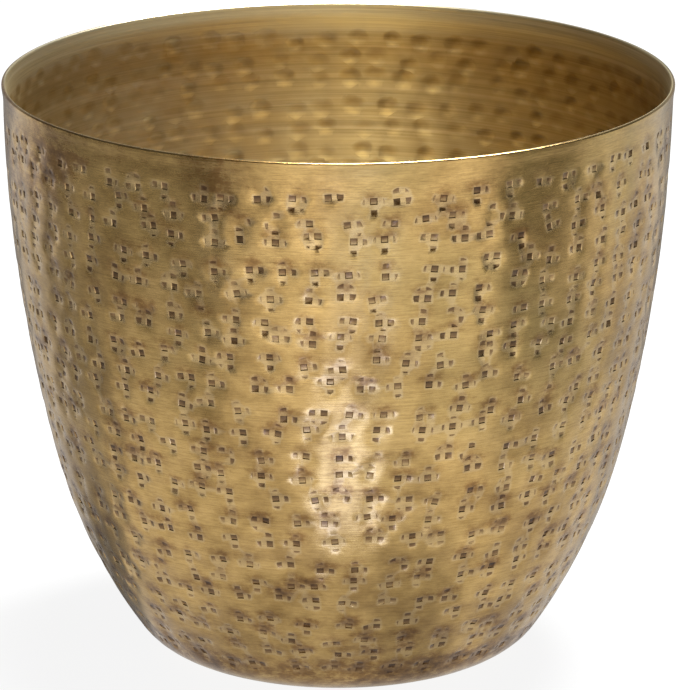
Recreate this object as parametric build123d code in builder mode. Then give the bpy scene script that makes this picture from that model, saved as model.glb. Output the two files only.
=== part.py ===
from build123d import *
import os
from math import sqrt

# A cachepot: one spun sheet-metal shell, open at the top, standing on stick-on foot pads.
# Millimetres and degrees. +Z is up, the pot's axis is Z, and Z = 0 is the surface it stands on.

# Shell
rim_diameter = 170.0  # across the outside of the flared lip
shell_height = 148.5  # from the base ring up to the rim
sheet_thickness = 1.0  # the same all over, because the shell is spun from one disc
base_ring_diameter = 79.0  # outside of the flat ring under the pot
foot_corner_radius = 15.7  # outside of the bend from the base into the wall
foot_corner_sweep = 56.0  # how far that bend turns up from the base
wall_lean = 0.8  # how far the wall still leans outwards just under the lip
wall_fullness_share = 1.8  # upper wall arc's tangent length as a share of the lower one's
lip_height = 4.0  # height over which the lip steps outwards
lip_flare = 0.4  # how far the lip stands out from the wall below it
rim_round_share = 0.42  # rounding of the rim's two edges, as a share of the sheet

# Base: the middle is pushed up, so that the pot stands on a ring and can't rock
kick_height = 1.2  # how far the middle is pushed up
kick_flat_diameter = 30.0  # flat part of the pushed-up middle
base_ring_inner_diameter = 48.0  # inside of the flat ring

# Foot pads, stuck under the base ring
pad_count = 4
pad_diameter = 11.0
pad_height = 1.5
pad_edge_radius = 0.5  # rounding of the edge that meets the floor
pad_first_angle = 45.0  # place of the first pad round the axis


def biarc_joint(start, start_direction, end, end_direction, length_ratio=1):
    """The point where two arcs meet smoothly on the way from start to end.

    The first arc leaves start along start_direction, the second arrives at end along end_direction,
    and length_ratio is the second arc's tangent length over the first one's.
    """
    chord = end - start
    bend = 2 * length_ratio * (1 - start_direction.dot(end_direction))
    reach = chord.dot(start_direction + end_direction * length_ratio)
    first_length = chord.dot(chord) / (reach + sqrt(reach**2 + bend * chord.dot(chord)))
    first_corner = start + start_direction * first_length
    second_corner = end - end_direction * (first_length * length_ratio)
    return first_corner + (second_corner - first_corner) / (1 + length_ratio)


def up_the_wall(slope):
    """Direction in the section plane that climbs at this slope, in degrees from the base's plane."""
    return Vector(1, 0).rotate(Axis.Z, slope)


outwards = up_the_wall(0)
upwards = up_the_wall(90)
below_lip = up_the_wall(90 - wall_lean)
lip_foot = Vector(rim_diameter / 2 - lip_flare, pad_height + shell_height - lip_height)
rim_point = Vector(rim_diameter / 2, pad_height + shell_height)

# The shell's section is its outside line, thickened inwards by the sheet, and turned round the axis
with BuildPart() as pot_shell:
    with BuildSketch(Plane.XZ):
        with BuildLine():
            kick_top = pad_height + kick_height
            middle = Line((0, kick_top), (kick_flat_diameter / 2, kick_top))
            ring_inner = Vector(base_ring_inner_diameter / 2, pad_height)
            kick_middle = biarc_joint(middle @ 1, outwards, ring_inner, outwards)
            kick_bend = TangentArc(middle @ 1, kick_middle, tangent=outwards)
            TangentArc(kick_middle, ring_inner, tangent=kick_bend % 1)
            ring = Line(ring_inner, (base_ring_diameter / 2, pad_height))
            corner = JernArc(ring @ 1, outwards, foot_corner_radius, foot_corner_sweep)
            belly = biarc_joint(corner @ 1, corner % 1, lip_foot, below_lip, wall_fullness_share)
            lower_wall = TangentArc(corner @ 1, belly, tangent=corner % 1)
            upper_wall = TangentArc(belly, lip_foot, tangent=lower_wall % 1)
            lip_middle = biarc_joint(lip_foot, upper_wall % 1, rim_point, upwards)
            lip_bend = TangentArc(lip_foot, lip_middle, tangent=upper_wall % 1)
            TangentArc(lip_middle, rim_point, tangent=lip_bend % 1)
            offset(amount=sheet_thickness, side=Side.LEFT)
        make_face()
    revolve(axis=Axis.Z)
    rim_edges = pot_shell.faces().sort_by(Axis.Z)[-1].edges()
    fillet(rim_edges, rim_round_share * sheet_thickness)

# Foot pads: discs on the base ring's middle line, rounded where they meet the floor
pad_circle_radius = (base_ring_inner_diameter + base_ring_diameter) / 4
foot_pads = []
for number in range(pad_count):
    angle = pad_first_angle + number * 360 / pad_count
    with BuildPart() as foot_pad:
        with BuildSketch():
            with PolarLocations(pad_circle_radius, 1, start_angle=angle):
                Circle(pad_diameter / 2)
        extrude(amount=pad_height)
        fillet(foot_pad.edges().group_by(Axis.Z)[0], pad_edge_radius)
    foot_pad.part.label = f"foot_pad_{number + 1}"
    foot_pads.append(foot_pad.part)

pot_shell.part.label = "pot_shell"

os.makedirs("parts", exist_ok=True)
for piece in [pot_shell.part, *foot_pads]:
    export_step(piece, f"parts/{piece.label}.step")
    print(piece.label, "volume", round(piece.volume, 1), "box", piece.bounding_box().size)
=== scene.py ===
# %% [markdown]
# A hammered brass cachepot. The packed CAD model comes first: it fixes the size and place of
# everything, and each piece made below is drawn over it in the same metres.

# %% Load the packed model
import math
import random

import bpy
import numpy as np
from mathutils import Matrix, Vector, noise
from mathutils.geometry import delaunay_2d_cdt


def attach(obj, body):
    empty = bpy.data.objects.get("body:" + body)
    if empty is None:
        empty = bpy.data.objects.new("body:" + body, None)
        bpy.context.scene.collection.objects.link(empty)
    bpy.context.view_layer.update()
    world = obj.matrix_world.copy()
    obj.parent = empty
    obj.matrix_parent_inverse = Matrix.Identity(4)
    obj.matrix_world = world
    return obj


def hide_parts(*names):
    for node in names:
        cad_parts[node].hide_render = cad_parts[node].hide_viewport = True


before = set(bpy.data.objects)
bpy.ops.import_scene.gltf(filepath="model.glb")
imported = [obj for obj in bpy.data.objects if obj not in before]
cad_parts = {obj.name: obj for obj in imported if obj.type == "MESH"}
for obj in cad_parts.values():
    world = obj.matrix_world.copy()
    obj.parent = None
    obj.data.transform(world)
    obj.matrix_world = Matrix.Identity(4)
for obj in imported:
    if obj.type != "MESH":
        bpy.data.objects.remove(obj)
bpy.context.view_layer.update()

# %% [markdown]
# The camera stands where the photographer stood: about 1.2 m in front of the pot and 0.44 m above
# its floor, looking 17 degrees down through a long lens. A long lens keeps the rim's ellipse flat
# and the wall's sides nearly parallel, as they are in the picture.

# %% Camera
MM = 0.001
CAMERA_PLACE = (0.0, -1.190, 0.4425)
CAMERA_PITCH = math.radians(16.97)
LENS_MM = 252.65
AXIS_SHIFT = 0.0026  # the pot stands a hair left of the middle

bpy.ops.object.camera_add(location=CAMERA_PLACE, rotation=(math.pi / 2 - CAMERA_PITCH, 0, 0))
camera = bpy.context.object
camera.data.lens = LENS_MM
camera.data.shift_x = AXIS_SHIFT
bpy.context.scene.camera = camera
print("camera", camera.data.lens, "mm lens")

# %% [markdown]
# The pot is spun from one disc of sheet, so one line describes all of it: the outside of its
# section, from the middle of the base out to the foot, up the wall and over the lip. The line is
# made of straight runs and arcs that leave each other without a corner.

# %% The outside line of the section, in millimetres
STAND = 1.5  # the pads lift the base by this much
SHEET = 1.0
KICK_TOP, KICK_FLAT, RING_INNER, RING_OUTER = 2.7, 15.0, 24.0, 39.5
FOOT_RADIUS, FOOT_SWEEP = 15.7, math.radians(56)
RIM_RADIUS, RIM_HEIGHT = 85.0, 150.0
LIP_HEIGHT, LIP_FLARE, WALL_LEAN, FULLNESS = 4.0, 0.4, math.radians(0.8), 1.8
STEP = 0.25  # spacing of the line's points


def turned(direction, angle):
    return np.array([direction[0] * math.cos(angle) - direction[1] * math.sin(angle),
                     direction[0] * math.sin(angle) + direction[1] * math.cos(angle)])


def add_run(line, end):
    """Adds a straight run to the line."""
    start, end = line[-1], np.array(end, float)
    count = max(1, round(np.linalg.norm(end - start) / STEP))
    line += [start + (end - start) * k / count for k in range(1, count + 1)]


def add_arc(line, heading, end):
    """Adds the arc that leaves the line along heading and reaches end; returns its last heading."""
    start, end = line[-1], np.array(end, float)
    chord = end - start
    length = np.linalg.norm(chord)
    half = math.atan2(heading[0] * chord[1] - heading[1] * chord[0], heading @ chord)
    count = max(2, round(length / STEP))
    for k in range(1, count + 1):
        part = half * k / count
        share = k / count if abs(half) < 1e-6 else math.sin(part) / math.sin(half)
        line.append(start + turned(heading, part) * length * share)
    return turned(heading, 2 * half)


def add_double_arc(line, heading, end, last_heading, ratio=1.0):
    """Adds two arcs that meet smoothly on the way to end."""
    start, end = line[-1], np.array(end, float)
    chord = end - start
    bend = 2 * ratio * (1 - heading @ last_heading)
    reach = chord @ (heading + ratio * last_heading)
    first = chord @ chord / (reach + math.sqrt(reach**2 + bend * (chord @ chord)))
    corner, far_corner = start + first * heading, end - first * ratio * last_heading
    middle_heading = add_arc(line, heading, corner + (far_corner - corner) / (1 + ratio))
    add_arc(line, middle_heading, end)


OUTWARDS, UPWARDS = np.array([1.0, 0.0]), np.array([0.0, 1.0])
UP_THE_WALL = turned(OUTWARDS, math.pi / 2 - WALL_LEAN)
outside = [np.array([0.0, KICK_TOP])]
add_run(outside, (KICK_FLAT, KICK_TOP))
add_double_arc(outside, OUTWARDS, (RING_INNER, STAND), OUTWARDS)
add_run(outside, (RING_OUTER, STAND))
foot_end = outside[-1] + FOOT_RADIUS * np.array([math.sin(FOOT_SWEEP), 1 - math.cos(FOOT_SWEEP)])
foot_heading = add_arc(outside, OUTWARDS, foot_end)
foot_top = len(outside) - 1
lip_foot = (RIM_RADIUS - LIP_FLARE, RIM_HEIGHT - LIP_HEIGHT)
add_double_arc(outside, foot_heading, lip_foot, UP_THE_WALL, FULLNESS)
lip_start = len(outside) - 1
add_double_arc(outside, UP_THE_WALL, (RIM_RADIUS, RIM_HEIGHT), UPWARDS)

outside = np.array(outside)
along = np.concatenate([[0], np.cumsum(np.linalg.norm(np.diff(outside, axis=0), axis=1))])
slope = np.gradient(outside, along, axis=0)
slope /= np.linalg.norm(slope, axis=1)[:, None]
facing = np.stack([slope[:, 1], -slope[:, 0]], axis=1)  # away from the metal
FOOT_TOP, LIP_START, RIM_END = along[foot_top], along[lip_start], along[-1]
print("section line", round(RIM_END, 1), "mm, wall from", round(FOOT_TOP, 1), "to", round(LIP_START, 1))


def section(s, depth=0.0):
    """Radius and height of the section at length s along the line, depth millimetres inside it."""
    radius = np.interp(s, along, outside[:, 0]) - depth * np.interp(s, along, facing[:, 0])
    height = np.interp(s, along, outside[:, 1]) - depth * np.interp(s, along, facing[:, 1])
    return float(radius), float(height)


# %% [markdown]
# The wall is struck all over with a hammer whose face is cut across into small square teeth. Each
# blow leaves a shallow dish about as wide as a fingertip, and in its middle the prints of the
# teeth that touched: one whole square, and slivers of its neighbours. The blows run round the pot
# in rows, by hand, so their places wander.

# %% Where the blows fall
random.seed(20)
BAND_LOW, BAND_HIGH = FOOT_TOP - 4.0, LIP_START - 1.0  # the part of the wall that is remeshed
FIRST_ROW, LAST_ROW, ROW_COUNT = FOOT_TOP + 2.5, LIP_START - 4.5, 23
BLOW_SPACING = 8.7
ROW_SWAY, ROW_WANDER, ROW_LIMIT, BLOW_WANDER = 0.9, 0.65, 1.5, 1.1
HAMMER_TURN = 0.06  # how far the hammer turns in the hand, in radians
DISH_DEPTH, DISH_REACH = (0.28, 0.50), (3.0, 3.9)  # least and most
SEAM, CLEAR_OF_SEAM = math.pi / 2, 3.4  # the pattern is cut open at the back, between blows


def wrapped(angle):
    """The same angle, between minus half a turn and half a turn."""
    return (angle + math.pi) % math.tau - math.pi


blows = []  # place along the line, angle, turn of the hammer, depth and reach of the dish, smudge
row_gap = (LAST_ROW - FIRST_ROW) / (ROW_COUNT - 1)
for row in range(ROW_COUNT):
    middle = FIRST_ROW + row * row_gap
    count = round(2 * math.pi * section(middle)[0] / BLOW_SPACING)
    start = random.random()
    sway = random.uniform(0, math.tau)
    for k in range(count):
        turn = math.tau * (k + start) / count
        s = middle + ROW_SWAY * math.sin(2 * turn + sway) + random.gauss(0, ROW_WANDER)
        s = min(max(s, FIRST_ROW - ROW_LIMIT), LAST_ROW + ROW_LIMIT)
        radius = section(s)[0]
        angle = turn + random.gauss(0, BLOW_WANDER) / radius
        from_seam = wrapped(angle - SEAM) * radius
        if abs(from_seam) < CLEAR_OF_SEAM:
            angle = SEAM + math.copysign(CLEAR_OF_SEAM, from_seam) / radius
        blows.append((s, angle % math.tau, random.gauss(0, HAMMER_TURN), random.uniform(*DISH_DEPTH),
                      random.uniform(*DISH_REACH), random.random()))
print(len(blows), "blows in", ROW_COUNT, "rows")

# %% [markdown]
# The wall will be worked on as a flat sheet, unrolled at one radius. The blows are sorted into
# square cells of that sheet, so that each point of the wall looks only at its own cell and the
# eight around it.

# %% Find the blows near a place
UNROLL = 75.0  # radius at which the wall is unrolled, in millimetres
FLAT_WIDTH = math.tau * UNROLL
CELL = 12.0
CELLS_ROUND = int(FLAT_WIDTH // CELL) + 1
cells = {}


def cell_of(s, angle):
    return int(s // CELL), int((angle % math.tau) * UNROLL // CELL)


for blow in blows:
    cells.setdefault(cell_of(blow[0], blow[1]), []).append(blow)


def blows_near(s, angle):
    """The blows in the cell of this place and in the eight cells around it."""
    row, column = cell_of(s, angle)
    for i in (row - 1, row, row + 1):
        for j in (column - 1, column, column + 1):
            yield from cells.get((i, j % CELLS_ROUND), ())


print(len(cells), "cells hold blows")

# %% [markdown]
# Antique brass is blackened, then polished by hand. The black stays where the cloth doesn't reach:
# above the prints and under the lip, and above the prints part of the dark is painted shade. Round
# the foot the wall is painted a darker brown. Each mark here is a number from 0 to 1 that the finish
# will turn into colour.

# %% A stain under the lip, and a darker band round the foot
RIM_STAIN_WIDE, RIM_STAIN_TALL = 22.0, 16.0  # size of the patches
RIM_STAIN_DEEP, RIM_STAIN_FADE = 26.0, 20.0  # how far down it starts, and how slowly
FOOT_BAND_HEIGHT, FOOT_BAND_SPREAD = 8.5, 4.2


def clamp(value):
    return min(1.0, max(0.0, value))


def rim_stain(s, angle):
    """Brown stain under the lip, 0 to 1, most of it on the left."""
    radius, height = section(s)
    x, y = radius * math.cos(angle), radius * math.sin(angle)
    patches = noise.noise((x / RIM_STAIN_WIDE, y / RIM_STAIN_WIDE, height / RIM_STAIN_TALL))
    left = max(0.0, -math.cos(angle))
    high = clamp((s - LIP_START + RIM_STAIN_DEEP) / RIM_STAIN_FADE)
    return high * max(0.0, 0.3 * left + (0.25 + 0.65 * left) * patches)


def foot_darkening(height, angle):
    """Darker brown band round the foot, between the last prints and the edge of the base, most at the left
    and right, 0 to 1.
    """
    band = math.exp(-((height - FOOT_BAND_HEIGHT) / FOOT_BAND_SPREAD) ** 2)
    patches = noise.noise((3 * math.cos(angle), 3 * math.sin(angle), height / 9))
    return band * max(0.0, 0.5 + 0.6 * patches + 0.45 * abs(math.cos(angle)))


print("stain under the lip at the left", round(rim_stain(LIP_START, math.pi), 2))

# %% [markdown]
# The dent at any point of the wall is the sum of the dishes near it, plus slow waves, because a
# beaten wall is never quite round. The hammer comes from above, so a dish is steep at its top and
# long at its bottom. Inside, each dish shows as a bump, narrower and flatter on top.

# %% How deep the wall is beaten in
STEEP_TOP, LONG_BOTTOM = 0.62, 1.3
WAVES = ((0.28, 26.0, 60.0), (0.12, 9.0, 34.0))  # depth, width and height of slow waves
RIPPLES = ((0.16, 6.5, 4.5),)  # the same, for finer waves on the inside only
BUMP_SPREAD, BUMP_FLATNESS = 0.85, 2
BUMP_LEAST, BUMP_MORE = 0.25, 0.5  # height of a bump: least share of its dish, and what is added
SOOT_AND_SHADE_AT_FOOT, SOOT_AND_SHADE_FALL = 1.05, 0.55  # how strong the soot and painted shade are at the wall's foot, and how much weaker at the lip
SOOT_AND_SHADE_NEAR, PAINTED_SHADE_PER_BLOW = 8.0, 0.2  # soot and painted shade reach no further than this from their blow; the painted shade every blow gets
SOOT_AND_SHADE_WIDE, SOOT_AND_SHADE_TALL, SOOT_AND_SHADE_RISE = 3.0, 1.7, 1.7  # size of the soot and painted shade over a blow, and how far up they sit
FADE_LOW, FADE_HIGH = 5.0, 2.5  # the dents fade out towards the edges of the band


def wall_marks(s, angle, inside=False):
    """How far the wall is pushed in here, in millimetres, and how much soot and painted shade lies on it, 0
    to 1.
    """
    radius, height = section(s)
    depth = soot_and_shade = 0.0
    soot_and_shade_level = SOOT_AND_SHADE_AT_FOOT - SOOT_AND_SHADE_FALL * (s - FOOT_TOP) / (LIP_START - FOOT_TOP)
    for place, turn, _, dish, reach, smudge in blows_near(s, angle):
        across = wrapped(angle - turn) * radius
        upwards = (s - place) / (STEEP_TOP if s > place else LONG_BOTTOM)
        if inside:
            reach, dish = reach * BUMP_SPREAD, dish * (BUMP_LEAST + BUMP_MORE * smudge)
        share = (across**2 + upwards**2) / reach**2
        if share < 1:
            depth += dish * (1 - share ** (BUMP_FLATNESS if inside else 1)) ** 2
        # soot over each blow, with painted shade on the dish's steep upper side
        if abs(across) < SOOT_AND_SHADE_NEAR and abs(s - place) < SOOT_AND_SHADE_NEAR:
            cloud = math.exp(-((across / SOOT_AND_SHADE_WIDE) ** 2) - ((s - place - SOOT_AND_SHADE_RISE) / SOOT_AND_SHADE_TALL) ** 2)
            soot_and_shade += soot_and_shade_level * (PAINTED_SHADE_PER_BLOW + smudge) * cloud
    soot_and_shade += rim_stain(s, angle) + foot_darkening(height, angle)
    x, y = radius * math.cos(angle), radius * math.sin(angle)
    for wave, wide, tall in WAVES + RIPPLES if inside else WAVES:
        depth += wave * noise.noise((x / wide, y / wide, height / tall))
    fade = clamp((s - BAND_LOW) / FADE_LOW) * clamp((BAND_HIGH - s) / FADE_HIGH)
    return depth * fade, min(1.0, soot_and_shade)


print("dent at the first blow", round(wall_marks(*blows[0][:2])[0], 3), "mm")

# %% [markdown]
# A tooth print is a square, cut off where the round hammer face leaves the metal. Each print is
# drawn as an outline on the wall and a smaller outline below it, its floor; prints that would run
# into one another are left out, as a later blow wipes out an earlier one.

# %% The outline of a print
TOOTH, PITCH = 1.8, 3.0  # width of a tooth and distance to the next
PATCH, PATCH_SIDES = 2.75, 20  # radius of the part of the hammer face that touches, cut as a polygon
SHORTEST_EDGE, SMALLEST_PRINT = 0.22, 0.55  # millimetres and square millimetres


def cut_to_patch(corners):
    """The part of a polygon that lies inside the patch of the hammer face that touches."""
    for k in range(PATCH_SIDES):
        nx, ny = math.cos(math.tau * k / PATCH_SIDES), math.sin(math.tau * k / PATCH_SIDES)
        kept = []
        for a, b in zip(corners, corners[1:] + corners[:1]):
            da, db = PATCH - a[0] * nx - a[1] * ny, PATCH - b[0] * nx - b[1] * ny
            if da >= 0:
                kept.append(a)
            if da * db < 0:
                t = da / (da - db)
                kept.append((a[0] + t * (b[0] - a[0]), a[1] + t * (b[1] - a[1])))
        corners = kept
        if not corners:
            return []
    tidy = []
    for p in corners:
        if not tidy or math.dist(p, tidy[-1]) > SHORTEST_EDGE:
            tidy.append(p)
    while len(tidy) > 1 and math.dist(tidy[0], tidy[-1]) < SHORTEST_EDGE:
        tidy.pop()
    return tidy


def polygon_area(points):
    return 0.5 * sum(a[0] * b[1] - a[1] * b[0] for a, b in zip(points, points[1:] + points[:1]))


def tooth_outline(x, y):
    """The print of the tooth whose middle is at (x, y) on the hammer face."""
    half = TOOTH / 2
    left, right, bottom, top = x - half, x + half, y - half, y + half
    return cut_to_patch([(left, bottom), (right, bottom), (right, top), (left, top)])


print("a whole tooth prints", round(polygon_area(tooth_outline(0.0, 0.0)), 2), "square millimetres")

# %% [markdown]
# Every blow now prints the teeth nearest to its middle first. The floor of a print is darkest at
# its top, painted shade under the print's upper wall, and a sliver is paler than a whole square.

# %% The tooth prints
PRINT_DEPTH, LEAST_DEPTH = 0.22, 0.3  # millimetres, and the least share of it at the patch's edge
SHIFT_X, SHIFT_Y = 1.1, 0.9  # how far the hammer's teeth lie from the middle of the blow
PRINT_STRENGTH, PRINT_TONE = (0.75, 1.15), (0.3, 0.7)  # least and most
FLANK, LEAST_FLOOR = 0.42, 0.45  # width of the flanks together, least share left for the floor
EDGE_ROOM, SEAM_ROOM, PRINT_ROOM = 1.6, 0.6, 0.25  # room kept to the band's edges, seam and prints
PRINT_REACH, PRINT_CELL = 0.62, 3  # reach as a share of a print's size, and size of the cells
TOP_DARKER, SLIVER_TONE = 0.3, 0.35  # how much darker a floor's top is, as painted shade, and least tone of a sliver


def on_wall(point, blow):
    """Length and angle on the wall of a point of the hammer face."""
    s, angle, turn = blow[:3]
    x = point[0] * math.cos(turn) - point[1] * math.sin(turn)
    y = point[0] * math.sin(turn) + point[1] * math.cos(turn)
    return s + y, angle + x / section(s)[0]


def flat_place(angle, seam):
    """Place of an angle on the sheet that is unrolled from the seam."""
    return ((angle - seam) % math.tau) * UNROLL


def prints_near(s, flat):
    """The prints in the cells around a place on the flat sheet."""
    row, column = int(s // PRINT_CELL), int(flat // PRINT_CELL)
    for i in (row - 1, row, row + 1):
        for j in (column - 1, column, column + 1):
            yield from taken.get((i, j), ())


prints = []  # outline and floor, each a list of (s, angle, depth, darkness)
taken = {}  # place and reach of each print, by cell
for blow in blows:
    radius = section(blow[0])[0]
    shift_x, shift_y = random.uniform(-SHIFT_X, SHIFT_X), random.uniform(-SHIFT_Y, SHIFT_Y)
    strength, tone = random.uniform(*PRINT_STRENGTH), random.uniform(*PRINT_TONE)
    teeth = [(i * PITCH + shift_x, j * PITCH + shift_y) for i in (-1, 0, 1) for j in (-1, 0, 1)]
    for tooth in sorted(teeth, key=lambda t: t[0] ** 2 + t[1] ** 2):
        outline = tooth_outline(*tooth)
        if len(outline) < 3 or polygon_area(outline) < SMALLEST_PRINT:
            continue
        mx = sum(p[0] for p in outline) / len(outline)
        my = sum(p[1] for p in outline) / len(outline)
        where_s, where_angle = on_wall((mx, my), blow)
        flat = flat_place(where_angle, SEAM)
        edges = [flat_place(on_wall(p, blow)[1], SEAM) for p in outline]
        if not BAND_LOW + EDGE_ROOM < where_s < BAND_HIGH - EDGE_ROOM:
            continue
        if any(not SEAM_ROOM < edge < FLAT_WIDTH - SEAM_ROOM for edge in edges):
            continue
        size = math.sqrt(polygon_area(outline))
        reach = size * PRINT_REACH
        if any(math.hypot(where_s - q[0], (flat - q[1]) * radius / UNROLL) < reach + q[2] + PRINT_ROOM
               for q in prints_near(where_s, flat)):
            continue
        key = (int(where_s // PRINT_CELL), int(flat // PRINT_CELL))
        taken.setdefault(key, []).append((where_s, flat, reach))
        shrink = max(LEAST_FLOOR, 1 - FLANK / size)
        whole = SLIVER_TONE + (1 - SLIVER_TONE) * min(1.0, size / TOOTH)
        low = []
        for p in outline:
            x, y = mx + (p[0] - mx) * shrink, my + (p[1] - my) * shrink
            depth = PRINT_DEPTH * strength * max(LEAST_DEPTH, 1 - (x**2 + y**2) / PATCH**2)
            # the print's patina, with painted shade at the top of its floor
            dark = (tone + TOP_DARKER * (y - my) / (TOOTH / 2)) * whole
            low.append((*on_wall((x, y), blow), depth, dark))
        prints.append(([(*on_wall(p, blow), 0.0, 0.0) for p in outline], low))
print(len(prints), "tooth prints")

# %% [markdown]
# The struck wall is unrolled to a flat sheet, and Delaunay triangulation joins a net of points and
# all the outlines into one skin. Each point is then rolled back on to the wall and pushed in by its
# dent. A Boolean with thousands of teeth would give the same prints with far worse triangles.

# %% Points of the struck band
SEGMENTS = 208  # points on each ring of the spun parts
NET, NET_ROW = 1.95, 0.866  # spacing of the net's points, and of its rows as a share of that
NET_ROOM, NET_CLEAR = 0.8, 0.5  # room kept to the seam and to a print
FAR, INSIDE_PRINT = 2.0, -0.4  # distance to a print: far from it, and on its floor

flat_points, flat_edges, flat_data = [], [], []  # data: extra depth, darkness, distance to a print


def add_flat(flat, s, depth=0.0, dark=0.0, away=FAR):
    flat_points.append(Vector((flat, s)))
    flat_data.append((depth, dark, away))


def nearest_print(flat, s):
    """Distance in millimetres from a place on the flat sheet to the nearest print."""
    squeeze = section(s)[0] / UNROLL
    gaps = [math.hypot(s - q[0], (flat - q[1]) * squeeze) - q[2] for q in prints_near(s, flat)]
    return min(gaps, default=FAR)


for top, low in prints:
    for ring, away in ((top, 0.0), (low, INSIDE_PRINT)):
        first = len(flat_points)
        for s, angle, depth, dark in ring:
            add_flat(flat_place(angle, SEAM), s, depth, dark, away)
        last = len(flat_points)
        flat_edges += [(k, k + 1 if k + 1 < last else first) for k in range(first, last)]

for s in (BAND_LOW, BAND_HIGH):
    for k in range(SEGMENTS + 1):
        add_flat(FLAT_WIDTH * k / SEGMENTS, s)
row_total = round((BAND_HIGH - BAND_LOW) / (NET * NET_ROW))
for row in range(1, row_total):
    s = BAND_LOW + (BAND_HIGH - BAND_LOW) * row / row_total
    count = round(math.tau * section(s)[0] / NET)
    add_flat(0.0, s)
    add_flat(FLAT_WIDTH, s)
    for k in range(1, count):
        flat = FLAT_WIDTH * (k + 0.5 * (row % 2)) / count
        away = nearest_print(flat, s)
        if NET_ROOM < flat < FLAT_WIDTH - NET_ROOM and away > NET_CLEAR:
            add_flat(flat, s, away=min(away, FAR))
print(len(flat_points), "points on the flat sheet")

# %% [markdown]
# Three numbers are kept at every point for the finish: how dark the floor of a print is there, with
# its painted shade at the top, how far the nearest print is, and how much smoke, stain and painted
# shade lies on the surface.

# %% The struck band of the wall


def add_skin(name, points, edges, seam, place):
    """Joins points of the flat sheet to a skin and rolls it up. place gives each point's depth and marks."""
    net_points, _, net_faces, origin, _, _ = delaunay_2d_cdt(points, edges, [], 0, 1e-6, True)
    rolled, marks = [], []
    for point, sources in zip(net_points, origin):
        s, angle = point.y, seam + point.x / UNROLL
        depth, *mark = place(s, angle, sources[0] if sources else -1)
        radius, height = section(s, depth)
        rolled.append((radius * math.cos(angle) * MM, radius * math.sin(angle) * MM, height * MM))
        marks.append(mark)
    mesh = bpy.data.meshes.new(name)
    mesh.from_pydata(rolled, [], net_faces)
    for mark_name, values in zip(("print_dark", "print_away", "smoke"), zip(*marks)):
        mesh.attributes.new(mark_name, "FLOAT", "POINT").data.foreach_set("value", values)
    skin = bpy.data.objects.new(name, mesh)
    bpy.context.collection.objects.link(skin)
    print(name, len(rolled), "points", len(net_faces), "triangles")
    return skin, net_points


def outside_place(s, angle, source):
    depth, dark, away = flat_data[source] if source >= 0 else (0.0, 0.0, 0.0)
    pushed, soot_and_shade = wall_marks(s, angle)
    return pushed + depth, clamp(dark), away, soot_and_shade


struck_band, _ = add_skin("struck_band", flat_points, flat_edges, SEAM, outside_place)

# %% [markdown]
# Inside, every blow stands out as a bump, steep above and long below. Arcs of points round each
# bump give it its shape with far fewer triangles than an even net of the same sharpness. This sheet
# is cut open at the front, where the wall hides the cut.

# %% The bumped inside of the wall
FRONT = -math.pi / 2
ARCS = ((1.08, 0, 180, 7), (0.84, 8, 172, 6), (0.55, 20, 160, 4),  # share of the reach, first and last
        (0.85, 215, 325, 3), (0.25, 270, 270, 1))  # degrees, and number of points
CUT_ROWS, CUT_ROOM, BUMP_LOW_ROOM, BUMP_HIGH_ROOM = 60, 0.7, 1.0, 0.5
OVERLAP = 6.0  # bumps this near to the cut are drawn at both of its sides
WORN, WORN_UNDER_LIP, WORN_FADE = 0.26, 0.2, 4.0  # tarnish of the bumped wall, and more of it high up
WORN_PLACE, WORN_SPREAD = 7.0, 7.0  # where that is, below the band's upper edge

bump_points, bump_edges = [], []
for s in (BAND_LOW, BAND_HIGH):
    bump_points += [Vector((FLAT_WIDTH * k / SEGMENTS, s)) for k in range(SEGMENTS + 1)]
for row in range(1, CUT_ROWS):
    s = BAND_LOW + (BAND_HIGH - BAND_LOW) * row / CUT_ROWS
    bump_points += [Vector((0.0, s)), Vector((FLAT_WIDTH, s))]


def add_arc_points(flat, s, reach, squeeze, share, start, end, count):
    """Adds an arc of points round a bump, as far as it lies on the sheet."""
    before = None
    upper = end <= 180
    for k in range(count):
        turn = math.radians(start + (end - start) * k / max(1, count - 1))
        x = flat + share * reach * math.cos(turn) * squeeze
        y = s + share * reach * math.sin(turn) * (STEEP_TOP if upper else LONG_BOTTOM)
        on_sheet = CUT_ROOM < x < FLAT_WIDTH - CUT_ROOM
        if not (on_sheet and BAND_LOW + BUMP_LOW_ROOM < y < BAND_HIGH - BUMP_HIGH_ROOM):
            before = None
            continue
        bump_points.append(Vector((x, y)))
        if before is not None and upper:
            bump_edges.append((before, len(bump_points) - 1))
        before = len(bump_points) - 1


for s, angle, _, _, reach, _ in blows:
    flat, squeeze = flat_place(angle, FRONT), UNROLL / section(s)[0]
    for copy in (flat, flat - FLAT_WIDTH, flat + FLAT_WIDTH):
        if -OVERLAP < copy < FLAT_WIDTH + OVERLAP:
            for arc in ARCS:
                add_arc_points(copy, s, reach * BUMP_SPREAD, squeeze, *arc)


def painted_side_shade(angle):
    """Painted shade: the inside is browner on its right and left than at its back and front."""
    across = math.cos(angle)
    return 0.3 * across**1.3 if across > 0 else 0.24 * across**2


def inside_place(s, angle, source):
    pushed, _ = wall_marks(s, angle, inside=True)
    under_lip = math.exp(-((BAND_HIGH - WORN_PLACE - s) / WORN_SPREAD) ** 2)
    worn = clamp((BAND_HIGH - s) / WORN_FADE) * (WORN + WORN_UNDER_LIP * under_lip)
    # tarnish, with painted shade on the left and right
    return SHEET + pushed, 0.0, FAR, worn + painted_side_shade(angle)


bumped_band, net_points = add_skin("bumped_band", bump_points, bump_edges, FRONT, inside_place)

# %% [markdown]
# Each corner of each inside face keeps its place in the nearest bump: across and up, as shares of
# the bump's reach, and how strongly the bump shows. The finish can then shade every bump smoothly
# from these places, however few faces the bump has.

# %% Places in the bumps
FAINTEST = 0.4  # how strongly the faintest bump shows

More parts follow.
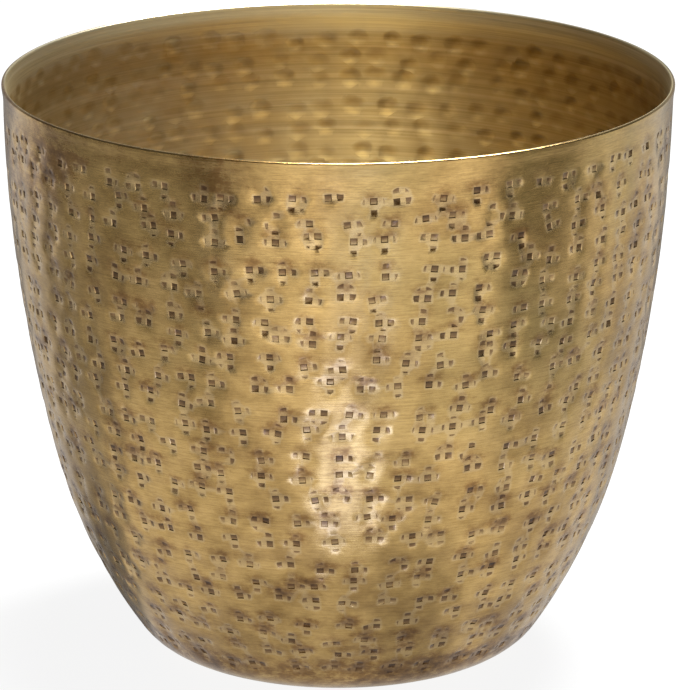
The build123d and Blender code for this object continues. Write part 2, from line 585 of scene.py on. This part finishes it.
bump_place = bumped_band.data.attributes.new("bump_place", "FLOAT_VECTOR", "CORNER").data
for face in bumped_band.data.polygons:
    corners = [net_points[v] for v in face.vertices]
    middle_s = sum(c.y for c in corners) / len(corners)
    middle = FRONT + sum(c.x for c in corners) / len(corners) / UNROLL
    radius = section(middle_s)[0]
    near = [(math.hypot(middle_s - blow[0], wrapped(middle - blow[1]) * radius) / blow[4], blow)
            for blow in blows_near(middle_s, middle)]
    if not near:
        continue
    place, turn, _, _, reach, smudge = min(near)[1]
    for corner, point in zip(face.loop_indices, corners):
        across = wrapped(FRONT + point.x / UNROLL - turn) * radius
        shows = FAINTEST + (1 - FAINTEST) * smudge
        bump_place[corner].vector = (across / reach, (point.y - place) / reach, shows)
print(len(bump_place), "places in bumps")

# %% [markdown]
# The rest of the shell is plain spun metal, so it is spun: a ring of points is opened to a chain,
# laid along the section and turned once round the axis. One chain makes the foot and the base,
# outside and inside; the other makes the lip with its rounded rim.

# %% Spin a chain
WELD = 0.00002  # points nearer than this, in metres, are one point


def spaced(start, end, spacing):
    count = max(1, round(abs(end - start) / spacing))
    return [start + (end - start) * k / count for k in range(count + 1)]


def spin_chain(name, chain):
    """Turns a chain of (radius, height) points, in millimetres, once round the axis."""
    bpy.ops.mesh.primitive_circle_add(vertices=len(chain), radius=RIM_RADIUS * MM)
    spun = bpy.context.object
    spun.name = name
    closing_edge = next(e.index for e in spun.data.edges if set(e.vertices) == {0, len(chain) - 1})
    bpy.ops.object.mode_set(mode="EDIT")
    bpy.ops.mesh.select_all(action="DESELECT")
    bpy.ops.object.mode_set(mode="OBJECT")
    spun.data.edges[closing_edge].select = True
    bpy.ops.object.mode_set(mode="EDIT")
    bpy.ops.mesh.select_mode(type="EDGE")
    bpy.ops.mesh.delete(type="EDGE")
    bpy.ops.object.mode_set(mode="OBJECT")
    for vertex, (radius, height) in zip(spun.data.vertices, chain):
        vertex.co = (0.0, radius * MM, height * MM)
    bpy.ops.object.mode_set(mode="EDIT")
    bpy.ops.mesh.select_mode(type="VERT")
    bpy.ops.mesh.select_all(action="SELECT")
    bpy.ops.mesh.spin(steps=SEGMENTS, angle=math.tau, center=(0, 0, 0), axis=(0, 0, 1))
    bpy.ops.mesh.select_all(action="SELECT")
    bpy.ops.mesh.remove_doubles(threshold=WELD)
    bpy.ops.mesh.delete_loose(use_verts=False, use_edges=True, use_faces=False)
    bpy.ops.object.mode_set(mode="OBJECT")
    for mark_name, value in (("print_dark", 0.0), ("print_away", FAR), ("smoke", 0.0)):
        layer = spun.data.attributes.new(mark_name, "FLOAT", "POINT")
        layer.data.foreach_set("value", [value] * len(spun.data.vertices))
    print(name, len(spun.data.vertices), "points")
    return spun


# %% The spun base
FOOT_STEP, RING_STEP, KICK_STEP = 1.4, 3.9, 1.3  # spacing of the points along the chain
MIDDLE_STOPS = [9.0, 4.0, 0.0]

ring_end = float(np.interp(RING_OUTER, outside[:foot_top, 0], along[:foot_top]))
ring_start = float(np.interp(RING_INNER, outside[:foot_top, 0], along[:foot_top]))
stops = spaced(BAND_LOW, ring_end, FOOT_STEP) + spaced(ring_end, ring_start, RING_STEP)[1:]
stops += spaced(ring_start, KICK_FLAT, KICK_STEP)[1:] + MIDDLE_STOPS
chain = [section(s) for s in stops] + [section(s, SHEET) for s in reversed(stops)]
spun_base = spin_chain("spun_base", chain)
smoke = spun_base.data.attributes["smoke"].data
for vertex in spun_base.data.vertices:
    smoke[vertex.index].value = foot_darkening(vertex.co.z / MM, math.atan2(vertex.co.y, vertex.co.x))

# %% The spun lip
RIM_ROUND, RIM_POINTS, LIP_STEP = 0.42, 4, 0.9  # rounding of the rim's two edges, points on each
OUTER_SHARE = 0.8  # points of the lip outside this share of the sheet count as outside

chain = [section(s, SHEET) for s in spaced(BAND_HIGH, RIM_END - RIM_ROUND, LIP_STEP)]
for centre, first in ((RIM_RADIUS - SHEET + RIM_ROUND, math.pi), (RIM_RADIUS - RIM_ROUND, math.pi / 2)):
    for k in range(0 if first < math.pi else 1, RIM_POINTS + 1):
        angle = first - k * math.pi / 2 / RIM_POINTS
        height = RIM_HEIGHT - RIM_ROUND + RIM_ROUND * math.sin(angle)
        chain.append((centre + RIM_ROUND * math.cos(angle), height))
chain += [section(s) for s in spaced(RIM_END - RIM_ROUND, BAND_HIGH, LIP_STEP)[1:]]
shell = spin_chain("hammered_shell", chain)
smoke = shell.data.attributes["smoke"].data
for vertex in shell.data.vertices:
    angle = math.atan2(vertex.co.y, vertex.co.x)
    outer = math.hypot(vertex.co.x, vertex.co.y) > (RIM_RADIUS - SHEET * OUTER_SHARE) * MM
    # outside the lip its stain; inside it, painted shade on the sides
    smoke[vertex.index].value = rim_stain(LIP_START, angle) if outer else painted_side_shade(angle)

# %% [markdown]
# The four parts meet in rings of the same number of points, so joining them and welding their open
# edges closes the shell. Counting the edges that are still open shows whether it did. Smooth shading
# stops at sharp edges, so that the prints stay crisp.

# %% Join the four parts of the shell and close it
SHARP_EDGE = math.radians(32)

bpy.ops.object.select_all(action="DESELECT")
for part in (struck_band, bumped_band, spun_base, shell):
    part.select_set(True)
bpy.context.view_layer.objects.active = shell
bpy.ops.object.join()
bpy.ops.object.mode_set(mode="EDIT")
bpy.ops.mesh.select_all(action="DESELECT")
bpy.ops.mesh.select_non_manifold()
bpy.ops.mesh.remove_doubles(threshold=WELD)
bpy.ops.mesh.select_all(action="SELECT")
bpy.ops.mesh.normals_make_consistent(inside=False)
bpy.ops.mesh.select_all(action="DESELECT")
bpy.ops.mesh.select_non_manifold()
bpy.ops.object.mode_set(mode="OBJECT")
open_edges = sum(e.select for e in shell.data.edges)
bpy.ops.object.shade_smooth_by_angle(angle=SHARP_EDGE)
shell.data.calc_loop_triangles()
print("hammered shell", len(shell.data.loop_triangles), "triangles,", open_edges, "open edges")

# %% [markdown]
# Finishes are built from a few kinds of node: noise, ramps from numbers to colours, mixes and sums.
# A small class keeps a material's nodes together, so that a finish reads as a list of steps.

# %% A material under construction


class Finish:
    """A material with its nodes, its links and the sockets of its surface."""

    def __init__(self, name):
        self.material = bpy.data.materials.new(name)
        self.material.use_nodes = True
        self.nodes, self.links = self.material.node_tree.nodes, self.material.node_tree.links
        self.surface = self.nodes["Principled BSDF"].inputs

    def feed(self, socket, value):
        """Links a socket to another node, or sets it to a colour or a number."""
        if isinstance(value, bpy.types.NodeSocket):
            self.links.new(value, socket)
        else:
            socket.default_value = (*value, 1) if isinstance(value, tuple) else value

    def place(self):
        """Object coordinates, taken apart."""
        parts = self.nodes.new("ShaderNodeSeparateXYZ")
        self.feed(parts.inputs[0], self.nodes.new("ShaderNodeTexCoord").outputs["Object"])
        return parts.outputs

    def noise(self, stretch, detail=2.0, roughness=0.5, output="Fac"):
        """Noise on Object coordinates, with its own fineness in each direction, per metre."""
        mapping = self.nodes.new("ShaderNodeMapping")
        mapping.inputs["Scale"].default_value = stretch
        self.feed(mapping.inputs["Vector"], self.nodes.new("ShaderNodeTexCoord").outputs["Object"])
        cloud = self.nodes.new("ShaderNodeTexNoise")
        for name, value in (("Scale", 1.0), ("Detail", detail), ("Roughness", roughness)):
            cloud.inputs[name].default_value = value
        self.feed(cloud.inputs["Vector"], mapping.outputs["Vector"])
        return cloud.outputs[output]

    def attribute(self, name, output="Fac"):
        attribute = self.nodes.new("ShaderNodeAttribute")
        attribute.attribute_name = name
        return attribute.outputs[output]

    def ramp(self, source, *stops):
        """Turns a number into a colour: stops are (number, colour)."""
        ramp = self.nodes.new("ShaderNodeValToRGB")
        while len(ramp.color_ramp.elements) < len(stops):
            ramp.color_ramp.elements.new(0.5)
        for element, (at, colour) in zip(ramp.color_ramp.elements, stops):
            element.position = at
            element.color = (*colour, 1)
        self.feed(ramp.inputs["Fac"], source)
        return ramp.outputs["Color"]

    def mix(self, factor, first, second, kind="MIX"):
        """Mixes two colours, or tints the first with the second where kind is MULTIPLY."""
        mix = self.nodes.new("ShaderNodeMix")
        mix.data_type = "RGBA"
        mix.blend_type = kind
        for socket, value in ((mix.inputs[0], factor), (mix.inputs[6], first), (mix.inputs[7], second)):
            self.feed(socket, value)
        return mix.outputs[2]

    def span(self, source, low, high, to_low, to_high):
        """Maps the numbers from low to high on to those from to_low to to_high."""
        span = self.nodes.new("ShaderNodeMapRange")
        values = (low, high, to_low, to_high)
        for name, value in zip(("From Min", "From Max", "To Min", "To Max"), values):
            span.inputs[name].default_value = value
        self.feed(span.inputs["Value"], source)
        return span.outputs["Result"]

    def sum(self, first, second, kind="ADD"):
        add = self.nodes.new("ShaderNodeMath")
        add.operation = kind
        self.feed(add.inputs[0], first)
        self.feed(add.inputs[1], second)
        return add.outputs[0]

    def oval(self, vector, x, y, wide, tall):
        """How far a place lies from (x, y), 1 on an oval of this half width and half height."""
        mapping = self.nodes.new("ShaderNodeMapping")
        mapping.inputs["Location"].default_value = (-x / wide, -y / tall, 0)
        mapping.inputs["Scale"].default_value = (1 / wide, 1 / tall, 0)
        self.feed(mapping.inputs["Vector"], vector)
        length = self.nodes.new("ShaderNodeVectorMath")
        length.operation = "LENGTH"
        self.feed(length.inputs[0], mapping.outputs["Vector"])
        return length.outputs["Value"]

    def roughen(self, height, strength, depth):
        """Gives the surface a fine relief."""
        bump = self.nodes.new("ShaderNodeBump")
        bump.inputs["Strength"].default_value = strength
        bump.inputs["Distance"].default_value = depth
        self.feed(bump.inputs["Height"], height)
        self.feed(self.surface["Normal"], bump.outputs["Normal"])


print("steps of a finish:", ", ".join(name for name in vars(Finish) if not name.startswith("_")))

# %% [markdown]
# The outside is brass that was darkened and rubbed back. Clouds of lighter and browner gold come
# first, with olive patches high on the right, painted as dark reflection, and brown ones low down.
# Fine lines round the pot are the marks of the polishing cloth, and smoke, painted shade and prints
# darken it where the mesh says so. A thin lacquer lies over all of it.

# %% Antique brass for the outside
brass = Finish("antique_brass")
for name, value in (("Metallic", 1.0), ("Anisotropic", 0.3), ("Anisotropic Rotation", 0.25),
                    ("Coat Weight", 0.3), ("Coat IOR", 1.6), ("Coat Roughness", 0.2)):
    brass.surface[name].default_value = value
# clouds of lighter and browner gold
gold = brass.ramp(brass.noise((60, 60, 75), 6.0, 0.65), (0.3, (0.37, 0.22, 0.066)),
                  (0.5, (0.59, 0.377, 0.128)), (0.7, (0.75, 0.49, 0.18)))
# olive patches high on the right: painted dark reflection
place = brass.place()
right = brass.span(place["X"], -0.05, 0.05, 0.1, 0.5)
painted_olive_reflection = brass.span(brass.noise((32, 32, 22), 3.0, 0.55), 0.42, 0.62, 0.0, 1.0)
high = brass.span(place["Z"], 0.05, 0.11, 0.15, 1.0)
painted_olive_reflection = brass.sum(brass.sum(painted_olive_reflection, right, "MULTIPLY"), high, "MULTIPLY")
gold = brass.mix(painted_olive_reflection, gold, (0.40, 0.31, 0.115))
# brown patches low down
low = brass.span(place["Z"], 0.03, 0.10, 0.6, 0.15)
brown = brass.span(brass.noise((42, 42, 85), 5.0, 0.65), 0.48, 0.66, 0.0, 1.0)
gold = brass.mix(brass.sum(brown, low, "MULTIPLY"), gold, (0.30, 0.17, 0.06))
# lines left by the polishing cloth
grain = brass.noise((380, 380, 3000), 3.0, 0.6)
fine_lines = brass.noise((110, 110, 5200), 2.0, 0.6)
lines = brass.span(brass.sum(fine_lines, grain), 0.7, 1.3, 0.0, 1.0)
tint = brass.ramp(lines, (0.1, (0.83, 0.81, 0.77)), (0.5, (1.0, 1.0, 1.0)), (0.9, (1.09, 1.10, 1.11)))
gold = brass.mix(1.0, gold, tint, "MULTIPLY")
# bright worn edges round the prints
halo = brass.span(brass.attribute("print_away"), 0.05, 0.6, 0.22, 0.0)
gold = brass.mix(halo, gold, (0.85, 0.68, 0.42))
# smoke and painted shade, in blotches
blotches = brass.span(brass.noise((300, 300, 420), 4.0, 0.7), 0.3, 0.7, 0.0, 1.5)
smoke = brass.sum(brass.attribute("smoke"), blotches, "MULTIPLY")
tint = brass.ramp(smoke, (0.05, (1, 1, 1)), (0.45, (0.58, 0.49, 0.43)), (1.0, (0.33, 0.26, 0.23)))
gold = brass.mix(1.0, gold, tint, "MULTIPLY")
# dark floors of the prints: patina, with painted shade at their tops
print_dark = brass.attribute("print_dark")
tint = brass.ramp(print_dark, (0.0, (1, 1, 1)), (0.5, (0.42, 0.35, 0.33)), (1.0, (0.14, 0.12, 0.12)))
brass.feed(brass.surface["Base Color"], brass.mix(1.0, gold, tint, "MULTIPLY"))
# the darker the metal, the duller it is
sooty = brass.span(brass.sum(smoke, print_dark), 0.0, 1.0, 0.0, 0.15)
brass.feed(brass.surface["Roughness"], brass.sum(brass.span(lines, 0.0, 1.0, 0.26, 0.20), sooty))
brass.roughen(lines, 0.3, 0.00005)
print("antique brass", len(brass.nodes), "nodes")

# %% [markdown]
# Inside, the brass is turned on the lathe and left: fine rings, brighter streaks, and no lacquer.
# The upper side of each bump gets painted shade and its lower side a painted highlight. The places
# in the bumps are stirred with a little noise, so that no two bumps look alike. Towards the floor of
# the pot the metal is painted darker, as shade, and is duller.

# %% Turned brass for the inside
BUMP_SHADE, BUMP_GLINT, BUMP_WANDER = 0.62, -0.4, 0.45

spun = Finish("spun_brass")
for name, value in (("Metallic", 1.0), ("Anisotropic", 0.6), ("Anisotropic Rotation", 0.25)):
    spun.surface[name].default_value = value
# rings and streaks left by the lathe tool
fine_lines = spun.noise((30, 30, 3000), 3.0, 0.6)
lines = spun.span(spun.sum(fine_lines, spun.noise((8, 8, 520), 2.0)), 0.7, 1.3, 0.0, 1.0)
gold = spun.ramp(lines, (0.0, (0.65, 0.55, 0.34)), (0.5, (0.815, 0.71, 0.46)), (1.0, (0.93, 0.84, 0.60)))
streaks = spun.span(spun.noise((9, 9, 800), 2.0), 0.54, 0.72, 0.0, 0.7)
gold = spun.mix(streaks, gold, (1.0, 0.91, 0.70))
# places in the bumps, stirred
stirred = spun.nodes.new("ShaderNodeVectorMath")
stirred.operation = "MULTIPLY_ADD"
spun.feed(stirred.inputs[0], spun.noise((260, 260, 260), output="Color"))
stirred.inputs[1].default_value = (BUMP_WANDER, BUMP_WANDER, 0)
spun.feed(stirred.inputs[2], spun.attribute("bump_place", "Vector"))
parts = spun.nodes.new("ShaderNodeSeparateXYZ")
spun.feed(parts.inputs[0], stirred.outputs["Vector"])
# painted shade on the upper side of each bump, a painted highlight on its lower side
middle = BUMP_WANDER / 2
shade_oval = spun.oval(stirred.outputs["Vector"], middle, middle, 0.9, 0.62)
upper = spun.span(parts.outputs["Y"], middle - 0.3, middle + 0.4, 0.0, 1.0)
shade = spun.sum(spun.span(shade_oval, 0.4, 1.1, BUMP_SHADE, 0.0), upper, "MULTIPLY")
glint_oval = spun.oval(stirred.outputs["Vector"], middle, middle - 0.55, 0.85, 0.42)
glint = spun.span(glint_oval, 0.0, 1.0, BUMP_GLINT, 0.0)
painted_light_and_tarnish = spun.sum(spun.sum(shade, glint), parts.outputs["Z"], "MULTIPLY")
# tarnish and the painted shade of the sides, from the mesh
painted_light_and_tarnish = spun.sum(painted_light_and_tarnish, spun.attribute("smoke"))
# painted shade and a duller finish towards the floor of the pot
shaded_dull_floor = spun.span(spun.place()["Z"], 0.008, 0.04, 0.5, 0.0)
painted_light_and_tarnish = spun.sum(painted_light_and_tarnish, shaded_dull_floor)
tint = spun.ramp(painted_light_and_tarnish, (0.0, (1.14, 1.15, 1.1)), (0.3, (0.76, 0.73, 0.67)),
                 (0.5, (0.67, 0.59, 0.45)), (0.9, (0.46, 0.34, 0.17)))
spun.feed(spun.surface["Base Color"], spun.mix(1.0, gold, tint, "MULTIPLY"))
spun.feed(spun.surface["Roughness"], spun.sum(spun.span(lines, 0.0, 1.0, 0.42, 0.34), shaded_dull_floor))
spun.roughen(lines, 0.3, 0.00008)
print("turned brass", len(spun.nodes), "nodes")

# %% [markdown]
# One mesh takes both finishes, face by face. A face belongs to the inside when it looks at the
# pot's axis, or when it looks up from the floor of the pot.

# %% Put the brass on the shell
LOOKS_DOWN, LOOKS_UP, FLOOR_REACH = -0.5, 0.7, 0.06

shell.data.materials.clear()
shell.data.materials.append(brass.material)
shell.data.materials.append(spun.material)
for face in shell.data.polygons:
    reach = math.hypot(face.center.x, face.center.y)
    inward = -(face.normal.x * face.center.x + face.normal.y * face.center.y) / max(reach, 1e-6)
    on_floor = face.normal.z > LOOKS_UP and reach < FLOOR_REACH
    face.material_index = int((inward > 0 and face.normal.z > LOOKS_DOWN) or on_floor)
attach(shell, "root")
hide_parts("pot_shell")
print(sum(face.material_index for face in shell.data.polygons), "faces on the inside")

# %% [markdown]
# Under the base sit four stick-on pads of dark rubber. Their CAD solids already have the right shape,
# so they only get a finish: nearly black, dull, with a grain far too fine to model.

# %% Rubber pads
PAD_COUNT = 4

rubber = Finish("pad_rubber")
grain = rubber.noise((2500, 2500, 2500), 4.0, 0.65)
dark = rubber.ramp(grain, (0.3, (0.018, 0.016, 0.015)), (0.7, (0.05, 0.045, 0.04)))
rubber.feed(rubber.surface["Base Color"], dark)
rubber.feed(rubber.surface["Roughness"], rubber.span(grain, 0.3, 0.7, 0.7, 0.9))
for number in range(1, PAD_COUNT + 1):
    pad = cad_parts[f"foot_pad_{number}"]
    pad.data.materials.clear()
    pad.data.materials.append(rubber.material)
print(PAD_COUNT, "pads in rubber")

# %% [markdown]
# The floor is plain and pale. Camera and mirror rays see it glow almost white, which gives the white
# background without more light on the pot; the rest of it is an ordinary surface that keeps the
# pot's shadow.

# %% Floor
GLOW_SHARE = 0.9

bpy.ops.mesh.primitive_plane_add(size=6, location=(0, 0, 0))
floor = bpy.context.object
floor.name = "floor"
pale = Finish("pale_floor")
pale.surface["Base Color"].default_value = (0.8, 0.8, 0.8, 1)
pale.surface["Roughness"].default_value = 0.9
path = pale.nodes.new("ShaderNodeLightPath").outputs
seen = pale.sum(path["Is Camera Ray"], path["Is Glossy Ray"], "MAXIMUM")
seen = pale.sum(seen, path["Is Transmission Ray"], "MAXIMUM")
glow = pale.nodes.new("ShaderNodeEmission")
glow.inputs["Strength"].default_value = 1.0
blend = pale.nodes.new("ShaderNodeMixShader")
pale.feed(blend.inputs[0], pale.sum(seen, GLOW_SHARE, "MULTIPLY"))
pale.feed(blend.inputs[1], pale.nodes["Principled BSDF"].outputs[0])
pale.feed(blend.inputs[2], glow.outputs[0])
pale.feed(pale.nodes["Material Output"].inputs["Surface"], blend.outputs[0])
floor.data.materials.append(pale.material)
print("floor", floor.dimensions.x, "m wide")

# %% [markdown]
# Metal shows little but what it mirrors, so a photographer lights a brass pot with soft boxes and
# cards. One box above reaches down into the pot, a weak one stands by the camera, and a small one
# close to the floor in front makes the pale highlight low on the wall.

# %% Light
WORLD_LIGHT = 0.06
BOUNCE_PLACE, ABOVE_BOUNCE = (0.004, -0.168, 0.003), (0.004, -0.168, 1.0)

world = bpy.data.worlds.new("studio")
bpy.context.scene.world = world
world.use_nodes = True
background = world.node_tree.nodes["Background"].inputs
background["Color"].default_value = (1, 1, 1, 1)
background["Strength"].default_value = WORLD_LIGHT


def add_softbox(name, place, target, width, height, power):
    bpy.ops.object.light_add(type="AREA", location=place)
    lamp = bpy.context.object
    lamp.name = name
    lamp.data.shape = "RECTANGLE"
    lamp.data.size, lamp.data.size_y = width, height
    lamp.data.energy = power
    lamp.rotation_euler = (Vector(target) - lamp.location).to_track_quat("-Z", "Y").to_euler()
    lamp.visible_camera = False
    print(name, "softbox", power, "W")
    return lamp


add_softbox("key", (0.25, -1.0, 1.3), (0, 0, 0.08), width=0.6, height=0.6, power=1)
add_softbox("overhead", (0.2, 0.2, 1.2), (0, 0, 0.1), width=0.32, height=0.8, power=58)
bounce = add_softbox("front_bounce", BOUNCE_PLACE, ABOVE_BOUNCE, width=0.04, height=0.09, power=0.016)
bounce.data.color = (0.75, 0.95, 1.75)

# %% [markdown]
# The wall leans over the floor, so it mirrors the floor in front and at the sides. In a studio that
# floor is white near the pot and darker where stands and flags keep the light off. A card just above
# the floor, seen by the metal alone, has those soft stripes: each is a range of directions, in
# degrees from the front with the left positive, and of distances from the pot in metres.

# %% What the wall mirrors
CARD_ROUND, CARD_RINGS = 360, 60
CARD_START, CARD_SPREAD, CARD_HEIGHT = 0.03, 1.2, 0.001


def soft_step(value, low, high):
    t = clamp((value - low) / (high - low))
    return t * t * (3 - 2 * t)


def strip(value, start, end, edge):
    """1 between start and end, 0 outside them, with soft edges."""
    return soft_step(value, start - edge, start + edge) * (1 - soft_step(value, end - edge, end + edge))


def floor_shade(azimuth, reach):
    """Colour of the card in a direction and at a distance."""
    near_pot = 0.62 + 0.38 * soft_step(reach, 0.05, 0.2) + 0.3 * soft_step(reach, 0.36, 0.48)
    low = 1 - soft_step(reach, 0.10, 0.16)
    near_pot *= 1 + low * (0.18 * soft_step(abs(azimuth), 28, 48) - 0.16 * strip(azimuth, -36, -10, 6))
    # dark flags to the left and right, darker further out
    dark = 0.10 + 0.40 * soft_step(reach, 0.15, 0.25) + 0.36 * soft_step(reach, 0.34, 0.48)
    left = 0.45 * soft_step(azimuth, 14, 24) + 0.65 * soft_step(azimuth, 32, 38)
    left = dark * (left - 0.14 * soft_step(azimuth, 43, 49))
    left *= 1 - soft_step(azimuth, 111, 116)
    right = dark * soft_step(-azimuth, 46, 56) * (1 - 0.5 * soft_step(-azimuth, 80, 90))
    right *= 1 - soft_step(-azimuth, 109, 114)
    # the pot's outline: dim edges near the floor, bright lines, and a dark strip behind
    edges = (0.72 - 0.25 * soft_step(reach, 0.09, 0.16)) * strip(azimuth, 80, 113, 6)
    edges = (edges + 0.2 * strip(-azimuth, 90, 111, 6)) * (1 - soft_step(reach, 0.25, 0.42))
    lines = strip(azimuth, 85, 88, 1) * (1 - soft_step(reach, 0.34, 0.4)) + strip(-azimuth, 97, 100, 1)
    rims = strip(abs(azimuth), 142, 167, 3)
    sides = 1 - 0.4 * strip(abs(azimuth), 112, 142, 2)
    light = near_pot * sides * (1 - left) * (1 - right) * (1 - edges)
    light *= (1 - 0.75 * rims) * (1 + 0.6 * lines)
    # far out in front, one brighter and one dimmer strip, and a few cool ones
    front = 0.22 * strip(azimuth, -3, 19, 2) - 0.22 * strip(azimuth, -35, -19, 2)
    light *= 1 + soft_step(reach, 0.39, 0.45) * front
    cool = strip(azimuth, -2.5, 5, 0.6) * strip(reach, 0.37, 0.6, 0.02)
    cool += strip(azimuth, -14, -4, 0.6) * strip(reach, 0.27, 0.45, 0.02)
    cool += strip(azimuth, 33, 42, 0.6) * strip(reach, 0.34, 0.6, 0.02)
    return light * (1 - 0.12 * cool), light * (1 - 0.04 * cool), light * (1 + 0.25 * cool)


def glow_for_metal(thing, finish, colour):
    """Makes an object of the set glow, so that only mirrors can see it."""
    glow = finish.nodes.new("ShaderNodeEmission")
    finish.feed(glow.inputs["Color"], colour)
    finish.feed(finish.nodes["Material Output"].inputs["Surface"], glow.outputs[0])
    thing.data.materials.append(finish.material)
    thing.visible_camera = thing.visible_diffuse = thing.visible_shadow = thing.visible_transmission = False


bpy.ops.mesh.primitive_grid_add(x_subdivisions=CARD_ROUND, y_subdivisions=CARD_RINGS, size=1)
card = bpy.context.object
card.name = "floor_card"
shades = card.data.attributes.new("shade", "FLOAT_COLOR", "POINT")
for vertex in card.data.vertices:
    azimuth, reach = 360 * vertex.co.x, CARD_START + CARD_SPREAD * (vertex.co.y + 0.5) ** 2
    shades.data[vertex.index].color = (*floor_shade(azimuth, reach), 1)
    turn = math.radians(azimuth)
    vertex.co = (-reach * math.sin(turn), -reach * math.cos(turn), CARD_HEIGHT)
striped = Finish("floor_card")
glow_for_metal(card, striped, striped.attribute("shade", "Color"))
print("floor card", len(card.data.vertices), "points")

# %% [markdown]
# Two upright cards finish the set: a brown one in front, which the upper sides of the bumps inside
# mirror, and a grey one behind, which keeps the edge of the rim from going black.

# %% Upright cards


def add_upright_card(name, finish_name, place, width, height, colour):
    bpy.ops.mesh.primitive_plane_add(size=1, location=place, rotation=(math.pi / 2, 0, 0))
    upright = bpy.context.object
    upright.name = name
    upright.scale = (width, height, 1)
    glow_for_metal(upright, Finish(finish_name), colour)
    print(name, width, "by", height, "m")


add_upright_card("front_flag", "brown_flag", (0, -1.0, 0.48), 1.8, 0.6, (0.13, 0.08, 0.03))
add_upright_card("white_sweep", "white_sweep", (0, 1.0, 0.35), 2.6, 0.7, (0.3, 0.3, 0.3))
bpy.context.scene.view_settings.view_transform = "Standard"

# %% [markdown]
